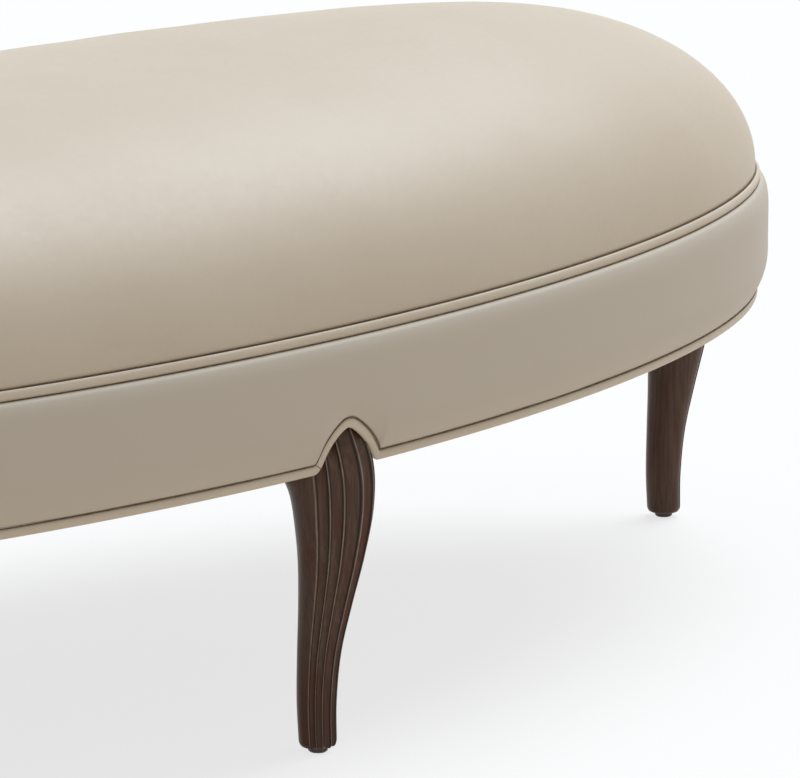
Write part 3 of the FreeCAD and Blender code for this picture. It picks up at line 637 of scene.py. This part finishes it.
class BENCH_OT_crown(bpy.types.Operator):
    """Makes the stuffed leather crown of the seat"""

    bl_idname = "bench.make_crown"
    bl_label = "Make Crown"

    columns = 300
    rings = 72
    dimples = 37
    dimple_share = 0.4
    settled = 0.02
    # Level, inset and lift of the rings that turn the crown's lower edge in
    tuck = ((-3, 0.0025, 0.00005), (-2, 0.0025, 0.00005), (-1, 0.0010, -0.0006))

    def execute(self, context):
        colours = finish_colours()
        seat = seat_sizes()
        levels = [row[0] for row in self.tuck]
        levels += [(step / self.rings) ** 2 for step in range(self.rings + 1)]
        bm, turn, level = ring_stack(self.columns, levels)
        lay_out(bm, turn, level, self.position)
        for vert in bm.verts:
            lift = noise.noise(vert.co * PUFFS) + self.dimple_share * noise.noise(vert.co * self.dimples)
            height = vert.co.z - CROWN_LOW.z
            vert.co += vert.normal * seat.unevenness * lift * min(1, max(0, height / self.settled))
        leather = leather_finish("leather", colours.hide, colours.hide_warm, 0.40)
        crown = make_piece(bm, "seat_crown", leather)
        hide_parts("top_cover")
        return {"FINISHED"}

    def position(self, turn, level):
        seat = seat_sizes()
        half_length, half_depth = CROWN_HIGH.x, CROWN_HIGH.x - seat.half_length + seat.half_depth
        inset, lift = next(((row[1], row[2]) for row in self.tuck if row[0] == level), (0, 0))
        rise = 1 if level in (self.tuck[0][0], 1) else max(0, level)
        height = 0 if level < 0 else (1 - (1 - rise) ** seat.crown_power) ** (1 / seat.crown_root)
        return Vector((
            (half_length - inset - seat.crown_run * rise) * math.cos(turn),
            (half_depth - inset) * (1 - rise) * math.sin(turn),
            CROWN_LOW.z + lift + (CROWN_HIGH.z - CROWN_LOW.z) * height,
        ))


class BENCH_OT_band(bpy.types.Operator):
    """Makes the padded leather band with its four arches"""

    bl_idname = "bench.make_band"
    bl_label = "Make Band"

    columns = 1080
    edge_rows = (-1.0, -0.5, 0.0, 0.003, 0.008, 0.016, 0.027, 0.042)
    middle_rows = 18

    def execute(self, context):
        first, last = self.edge_rows[-1], 1 - self.edge_rows[-1]
        gap = (last - first) / self.middle_rows
        rows = list(self.edge_rows) + [first + gap * row for row in range(1, self.middle_rows)]
        rows += [1 - row for row in reversed(self.edge_rows)]
        bm, turn, level = ring_stack(self.columns, rows)
        lay_out(bm, turn, level, self.position)
        face_outwards(bm)
        band = make_piece(bm, "seat_band", bpy.data.materials["leather"])
        thicken(band, "hide", seat_sizes().leather)
        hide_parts("band_cover")
        self.make_padding()
        return {"FINISHED"}

    def make_padding(self):
        """The wadding between the leather and the frame, drawn in over the arches with the leather."""
        seat, colours = seat_sizes(), finish_colours()
        rows = [self.edge_rows[-1] + (1 - 2 * self.edge_rows[-1]) * row / self.middle_rows
                for row in range(self.middle_rows + 1)]
        bm, turn, level = ring_stack(self.columns, rows)

        def position(around, level):
            outside = self.position(around, level)
            return outside - oval_outwards(gathered(around)) * (seat.leather + seat.padding_gap)

        lay_out(bm, turn, level, position)
        face_outwards(bm)
        wadding = fibre_finish("wadding", colours.wadding, colours.wadding_dull, 300.0, 0.95, 0.001)
        padding = make_piece(bm, "band_wadding", wadding)
        thicken(padding, "wadding", seat.padding)
        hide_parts("band_padding")

    def position(self, around, level):
        """A point of the band; levels under 0 and over 1 are the hems turned in behind the seams."""
        seat = seat_sizes()
        turn = gathered(around)
        low = edge_point(turn, welt_sizes().radius, 0).z
        height = low + min(1, max(0, level)) * (BAND_HIGH.z - low)
        out = band_swell(height, low)
        near = min(height - low, BAND_HIGH.z - height)
        if near < seat.seam_roll:
            out -= seat.seam_roll * (1 - math.sqrt(1 - (1 - near / seat.seam_roll) ** 2))
        out -= seat.hem * max(0, -level, level - 1)
        out += seat.unevenness * noise.noise(oval(turn, 0, height) * PUFFS)
        return oval(turn, out, height)


class BENCH_OT_welts(bpy.types.Operator):
    """Makes the leather piping over and under the band"""

    bl_idname = "bench.make_welts"
    bl_label = "Make Piping"

    upper_counts = (540, 20)
    lower_counts = (1080, 20)
    cord_counts = (540, 10)

    def execute(self, context):
        colours, welt = finish_colours(), welt_sizes()
        piping = leather_finish("welt_leather", colours.piping, colours.piping_warm, 0.38)
        cotton = fibre_finish("cord", colours.cotton, colours.cotton_dull, 1200.0, 0.9, 0.0003)
        section = (welt.thickness, welt.radius)
        cord = (welt.cord_radius, welt.cord_radius)
        level = BAND_HIGH.z + welt.radius

        def upper_path(turn):
            return oval(turn, -welt.upper_inset, level)

        def lower_path(turn):
            return eased_edge(turn, 0, -welt.lower_inset)

        upper = tube("upper_piping", upper_path, section, self.upper_counts, piping)
        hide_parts("upper_welt_cover")
        lower = tube("lower_piping", lower_path, section, self.lower_counts, piping)
        arch_welts = [f"{side}_arch_welt" for side in SIDES]
        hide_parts(*arch_welts, *[f"{corner}_welt" for corner in CORNERS])
        upper_cord = tube("upper_cord", upper_path, cord, self.cord_counts, cotton)
        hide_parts("upper_welt_cord")
        lower_cord = tube("lower_cord", lower_path, cord, self.lower_counts, cotton)
        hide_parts("lower_welt_cords")
        return {"FINISHED"}


class BENCH_OT_seams(bpy.types.Operator):
    """Makes the dark thread and painted shade that show in the seams where leather and piping meet"""

    bl_idname = "bench.make_seams"
    bl_label = "Make Seams"

    counts = (1080, 8)
    crease_shade_counts = (48, 8)
    # Outwards from the seam oval and up from the top of the band
    crown_seam = (-0.0034, 0.0085)
    band_seam = (-0.0002, 0.0003)
    # Distance over the lower piping's axis, and outwards from the seam oval
    edge_seam = (0.0040, -0.0007)

    def execute(self, context):
        welt = welt_sizes()
        thread_and_seam_shade = seam_thread_and_shade_finish()

        def crown_path(turn):
            return oval(turn, self.crown_seam[0], BAND_HIGH.z + self.crown_seam[1])

        def band_path(turn):
            return oval(turn, self.band_seam[0], BAND_HIGH.z + self.band_seam[1])

        def edge_path(turn):
            return edge_point(turn, *self.edge_seam)

        section = (welt.seam_radius, welt.seam_radius)
        # Dark tubes of thread and painted shade along the three seams.
        for name, path in (("crown_seam", crown_path), ("band_seam", band_path), ("edge_seam", edge_path)):
            tube(name, path, section, self.counts, thread_and_seam_shade)
        self.make_crease_shades(thread_and_seam_shade)
        return {"FINISHED"}

    def make_crease_shades(self, thread_and_seam_shade):
        """A dark tube of painted shade in the crease across the piping at one foot of each arch, where it
        is mitred.
        """
        seat, welt = seat_sizes(), welt_sizes()
        columns, sides = self.crease_shade_counts
        for number, side in enumerate(SIDES):
            reach = seat.half_length if side in ("front", "rear") else seat.half_depth
            foot = (number - 1) * math.pi / 2 - math.asin((welt.arch_half + welt.arch_shift) / reach)
            step = welt.corner / oval_pace(foot)
            before, after = [
                eased_edge(foot + step * way, 0, -welt.lower_inset) for way in (-2, 2)
            ]
            middle = eased_edge(foot, 0, -welt.lower_inset)
            along = (after - before).normalized()
            outwards = oval_outwards(foot)
            upwards = outwards.cross(along).normalized()
            bend = (after - middle).angle(middle - before) / 2
            tall = welt.radius / math.cos(bend)

            def position(around, section):
                spoke = welt.thickness * math.cos(around) * outwards + tall * math.sin(around) * upwards
                ring = math.cos(section) * spoke.normalized() + math.sin(section) * along
                return middle + spoke + welt.crease_shade_radius * ring

            bm, turn, level = ring_stack(columns, [ROUND * part / sides for part in range(sides + 1)])
            lay_out(bm, turn, level, position)
            # Painted shade in the mitre's crease.
            make_piece(bm, f"{side}_mitre_shade", thread_and_seam_shade)


class BENCH_OT_legs(bpy.types.Operator):
    """Makes the four fluted legs"""

    bl_idname = "bench.make_legs"
    bl_label = "Make Legs"

    columns = 360
    toe_rings = 8
    rings = 52
    ledge = 1e-4

    def execute(self, context):
        seat, leg = seat_sizes(), leg_sizes()
        wood = carved_finish()
        toe = [leg.foot[0] + leg.toe_round * (1 - math.cos(math.pi / 2 * step / self.toe_rings))
               for step in range(self.toe_rings)]
        start = leg.foot[0] + leg.toe_round
        shaft = [start + (leg.crown[0] - start) * step / self.rings for step in range(self.rings + 1)]
        levels = toe + shaft + [leg.crown[0] + self.ledge, LEG_HIGH.z]
        feet = {"front": (0, -seat.half_depth), "right": (seat.half_length, 0),
                "rear": (0, seat.half_depth), "left": (-seat.half_length, 0)}
        for number, side in enumerate(SIDES):
            bm, turn, level = ring_stack(self.columns, levels)
            # Pale ridges: partly wear, partly painted highlight.
            ridge = bm.verts.layers.float.new("ridge")
            # Painted shade beside the ridges, kept as a vertex attribute for the finish.
            painted_flute_shade = bm.verts.layers.float.new("painted_flute_shade")
            for vert in bm.verts:
                if vert[level] < leg.crown[0]:
                    vert[ridge], vert[painted_flute_shade] = self.wear(vert[turn])
            lay_out(bm, turn, level, self.position)
            bmesh.ops.holes_fill(bm, edges=bm.edges)
            bmesh.ops.recalc_face_normals(bm, faces=bm.faces)
            stand = Matrix.Translation((*feet[side], 0)) @ Matrix.Rotation(number * math.pi / 2, 4, "Z")
            bmesh.ops.transform(bm, matrix=stand, verts=bm.verts)
            piece = make_piece(bm, f"carved_{side}_leg", wood)
            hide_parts(f"{side}_leg")
        return {"FINISHED"}

    def ridges(self):
        leg = leg_sizes()
        right = [0] + [leg.wide_flute + count * leg.narrow_flute for count in range(3)]
        return [-turn for turn in reversed(right[1:])] + right

    def flute(self, turn):
        """Half the turn of the flute at an angle from straight outwards, and the way in from its ridge."""
        fillet = leg_sizes().fillet
        for start, end in zip(self.ridges(), self.ridges()[1:]):
            if start <= turn <= end:
                half = (end - start) / 2
                inside = half - abs(turn - (start + end) / 2)
                return half, max(0, (inside - fillet) / (half - fillet))
        return 0, 0

    def facing(self, turn):
        """Angle of a turn from straight outwards, to either side."""
        return (turn + math.pi / 2 + math.pi) % ROUND - math.pi

    def wear(self, turn):
        """How far a ridge is worn pale with a painted highlight, and how far the painted shade stays dark
        beside it.
        """
        leg = leg_sizes()
        outwards = self.facing(turn)
        half, inside = self.flute(outwards)
        if not half:
            # Past the outermost ridges the pale rim is partly wear and partly painted highlight.
            return max(0, 1 - (abs(outwards) - self.ridges()[-1]) / leg.rim), 0
        return max(0, 1 - inside / leg.rubbed_and_highlit), math.exp(-((inside - leg.flute_shade_peak) / leg.flute_shade_peak * 2) ** 2)

    def position(self, turn, height):
        leg = leg_sizes()
        if height > leg.crown[0]:
            reach = leg.post_half / max(abs(math.cos(turn)), abs(math.sin(turn)))
            return Vector((reach * math.cos(turn), leg.post_middle + reach * math.sin(turn), height))
        front, radius = self.section(height)
        rise = min(1, (height - leg.foot[0]) / leg.toe_round)
        draw = leg.toe_inset * (1 - math.sqrt(max(0, 1 - (1 - rise) ** 2)))
        outwards = self.facing(turn)
        half, inside = self.flute(outwards)
        soft = math.sqrt(inside ** 2 + leg.softness ** 2) - leg.softness
        chord = 2 * radius * math.sin(half)
        depth = radius * (1 - math.cos(half)) + leg.flute_depth * chord
        reach = radius - draw - depth * (1 - (1 - soft) ** 2)
        rise = (height - leg.flare_from) / (leg.shoulder[0] - leg.flare_from)
        if 0 < rise and height < CLOTH_HIGH.z and abs(outwards) > self.ridges()[-1]:
            behind = min(1, (abs(outwards) - self.ridges()[-1]) / self.ridges()[-1])
            reach += leg.flare * min(leg.flare_stop, rise) ** 5 * behind
        return Vector((reach * math.cos(turn), radius - front + reach * math.sin(turn), height))

    def section(self, height):
        """Reach past the seam and radius at a height, on a smooth curve through the sections."""
        leg = leg_sizes()
        rows = [Vector(row) for row in (
            leg.foot, leg.ankle, leg.shin, leg.calf, leg.hollow, leg.knee, leg.shoulder, leg.crown
        )]
        index = max((number for number, row in enumerate(rows[:-1]) if row.x <= height), default=0)
        low, high = rows[index], rows[index + 1]
        span = high.x - low.x
        part = (height - low.x) / span

        def slope(at):
            before, after = rows[max(0, at - 1)], rows[min(len(rows) - 1, at + 1)]
            return (after - before) / (after.x - before.x) * span

        square, cube = part ** 2, part ** 3
        point = (
            low * (2 * cube - 3 * square + 1) + slope(index) * (cube - 2 * square + part)
            + high * (3 * square - 2 * cube) + slope(index + 1) * (cube - square)
        )
        return point.y, point.z


class BENCH_OT_dust_cover(bpy.types.Operator):
    """Makes the stretched black cloth under the seat"""

    bl_idname = "bench.make_dust_cover"
    bl_label = "Make Dust Cover"

    columns = 720
    rings = 20
    sag = 0.004
    pucker = 0.0004
    staples = 40
    notch_half = 0.0355
    notch_depth = 0.0625
    thickness = 0.0008
    flat = (1.49, 0.62)
    flat_area = 0.70

    def execute(self, context):
        bm, turn, level = ring_stack(self.columns, [step / self.rings for step in range(self.rings + 1)])
        lay_out(bm, turn, level, self.position)
        if sum(face.normal.z for face in bm.faces) > 0:
            bmesh.ops.reverse_faces(bm, faces=bm.faces)
        colours = finish_colours()
        cloth = fibre_finish("dust_cloth", colours.cloth, colours.cloth_pale, 900.0, 0.85, 0.0003)
        piece = make_piece(bm, "underside_cloth", cloth)
        thicken(piece, "cloth", self.thickness)
        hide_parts("dust_cover")
        return {"FINISHED"}

    def position(self, around, level):
        turn = gathered(around)
        seat = seat_sizes()
        edge = oval(turn, CLOTH_HIGH.x - seat.half_length, 0)
        if abs(leg_offset(turn)) < self.notch_half:
            edge -= oval_outwards(turn) * (self.notch_depth - seat.half_length + CLOTH_HIGH.x)
        spine = (seat.half_length - seat.half_depth) * math.cos(turn)
        flat = Vector((edge.x + (spine - edge.x) * level, edge.y * (1 - level), CLOTH_LOW.z))
        ripple = math.cos(self.staples * turn) * math.exp(-level * self.rings / 3)
        flat.z += self.thickness - self.sag * math.sin(math.pi / 2 * level) - self.pucker * (1 + ripple)
        return flat


class BENCH_OT_frame(bpy.types.Operator):
    """Finishes the glides, the timber frame, the stuffing and the fixings"""

    bl_idname = "bench.finish_frame"
    bl_label = "Finish Frame"

    def execute(self, context):
        colours = finish_colours()
        beech = timber_finish("frame_wood", colours.beech, colours.beech_dark, 0.6)
        birch = timber_finish("plywood", colours.birch, colours.birch_dark, 0.4)
        foam = fibre_finish("foam", colours.foam, colours.foam_dull, 700.0, 0.9, 0.0006)
        steel = fibre_finish(
            "steel", colours.steel, colours.steel_dull, 1500.0, 0.36, 0.0001, Metallic=1.0
        )
        nylon = fibre_finish("glide", colours.nylon, colours.nylon_pale, 1100.0, 0.48, 0.0002)
        finishes = {
            nylon: [f"{side}_glide" for side in SIDES],
            beech: [f"{corner}_rail" for corner in CORNERS] + ["left_cross_rail", "right_cross_rail"]
            + [f"{side}_leg_block" for side in SIDES],
            birch: ["seat_deck"],
            foam: ["base_foam", "crown_foam"],
            bpy.data.materials["wadding"]: ["crown_wadding"],
            steel: ["hanger_bolts", "bolt_washers", "bolt_nuts", "block_screws", "cross_rail_screws",
                    "deck_screws", "dust_cover_staples"],
        }
        for material, names in finishes.items():
            for name in names:
                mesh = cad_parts[name].data
                mesh.materials.clear()
                mesh.materials.append(material)
        return {"FINISHED"}


class BENCH_OT_stage(bpy.types.Operator):
    """Sets the pale floor, the soft light and the camera"""

    bl_idname = "bench.set_stage"
    bl_label = "Set Stage"

    floor_size = 60
    sensor_width = 36
    clip_end = 200

    def execute(self, context):
        self.make_floor()
        self.make_sky()
        self.make_lamps()
        self.make_camera()
        context.scene.view_settings.view_transform = "Standard"
        return {"FINISHED"}

    def seen_rays(self, tree):
        """1 where the camera, a reflection or glass looks, 0 where light only bounces."""
        path = add_node(tree, "ShaderNodeLightPath").outputs
        shiny = arithmetic(tree, "MAXIMUM", path["Is Glossy Ray"], path["Is Transmission Ray"])
        return arithmetic(tree, "MAXIMUM", path["Is Camera Ray"], shiny)

    def make_floor(self):
        stage, colours = bpy.context.scene.bench_stage, finish_colours()
        bm = bmesh.new()
        bmesh.ops.create_grid(bm, x_segments=1, y_segments=1, size=self.floor_size / 2)
        mesh = bpy.data.meshes.new("floor")
        bm.to_mesh(mesh)
        bm.free()
        material = bpy.data.materials.new("floor")
        material.use_nodes = True
        tree = material.node_tree
        tree.nodes.clear()
        shaded = add_node(tree, "ShaderNodeBsdfDiffuse", Color=(*colours.floor, 1))
        white = add_node(tree, "ShaderNodeEmission", Color=(*colours.floor_glow, 1), Strength=1.0)
        bounce = add_node(tree, "ShaderNodeBsdfDiffuse", Color=(*colours.floor_warmth, 1))
        seen = add_node(tree, "ShaderNodeMixShader", Fac=stage.shadow_lift)
        tree.links.new(shaded.outputs[0], seen.inputs[1])
        tree.links.new(white.outputs[0], seen.inputs[2])
        mix = add_node(tree, "ShaderNodeMixShader", Fac=self.seen_rays(tree))
        tree.links.new(bounce.outputs[0], mix.inputs[1])
        tree.links.new(seen.outputs[0], mix.inputs[2])
        output = add_node(tree, "ShaderNodeOutputMaterial")
        tree.links.new(mix.outputs[0], output.inputs["Surface"])
        mesh.materials.append(material)
        floor = bpy.data.objects.new("floor", mesh)
        bpy.context.scene.collection.objects.link(floor)

    def make_sky(self):
        stage = bpy.context.scene.bench_stage
        world = bpy.data.worlds.new("studio")
        bpy.context.scene.world = world
        world.use_nodes = True
        tree = world.node_tree
        background = tree.nodes["Background"]
        background.inputs["Color"].default_value = (1, 1, 1, 1)
        rest = arithmetic(tree, "MULTIPLY", self.seen_rays(tree), 1 - stage.sky)
        tree.links.new(arithmetic(tree, "ADD", rest, stage.sky), background.inputs["Strength"])

    def make_lamps(self):
        stage = bpy.context.scene.bench_stage
        overhead = bpy.data.lights.new("overhead", "SUN")
        overhead.energy = stage.overhead
        overhead.color = finish_colours().daylight
        overhead.angle = stage.overhead_width
        self.aim(overhead, Vector(stage.overhead_from), Vector())

    def aim(self, data, eye, target):
        thing = bpy.data.objects.new(data.name, data)
        thing.location = eye
        thing.rotation_mode = "QUATERNION"
        thing.rotation_quaternion = (target - eye).to_track_quat("-Z", "Y")
        bpy.context.scene.collection.objects.link(thing)
        return thing

    def make_camera(self):
        stage = bpy.context.scene.bench_stage
        lens = bpy.data.cameras.new("camera")
        lens.lens = stage.lens
        lens.sensor_width = self.sensor_width
        lens.clip_end = self.clip_end
        bpy.context.scene.camera = self.aim(lens, Vector(stage.eye), Vector(stage.target))


class BENCH_PT_panel(bpy.types.Panel):
    """Lists the bench's sizes and pieces"""

    bl_idname = "BENCH_PT_panel"
    bl_label = "Bed Bench"
    bl_space_type = "VIEW_3D"
    bl_region_type = "UI"
    bl_category = "Bench"

    def draw(self, context):
        for operator in OPERATORS:
            self.layout.operator(operator.bl_idname)
        for name, group in GROUPS.items():
            box = self.layout.box()
            for setting in group.__annotations__:
                box.prop(getattr(context.scene, name), setting)


GROUPS = {
    "bench_seat": BENCH_PG_seat,
    "bench_welt": BENCH_PG_welt,
    "bench_leg": BENCH_PG_leg,
    "bench_finish": BENCH_PG_finish,
    "bench_stage": BENCH_PG_stage,
}
OPERATORS = (
    BENCH_OT_crown,
    BENCH_OT_band,
    BENCH_OT_welts,
    BENCH_OT_seams,
    BENCH_OT_legs,
    BENCH_OT_dust_cover,
    BENCH_OT_frame,
    BENCH_OT_stage,
)
CLASSES = (*GROUPS.values(), *OPERATORS, BENCH_PT_panel)


def register():
    for item in CLASSES:
        bpy.utils.register_class(item)
    for name, group in GROUPS.items():
        setattr(bpy.types.Scene, name, PointerProperty(type=group))


def unregister():
    for name in GROUPS:
        delattr(bpy.types.Scene, name)
    for item in reversed(CLASSES):
        bpy.utils.unregister_class(item)


def main():
    register()
    for operator in OPERATORS:
        family, name = operator.bl_idname.split(".")
        getattr(getattr(bpy.ops, family), name)()


if __name__ == "__main__":
    main()
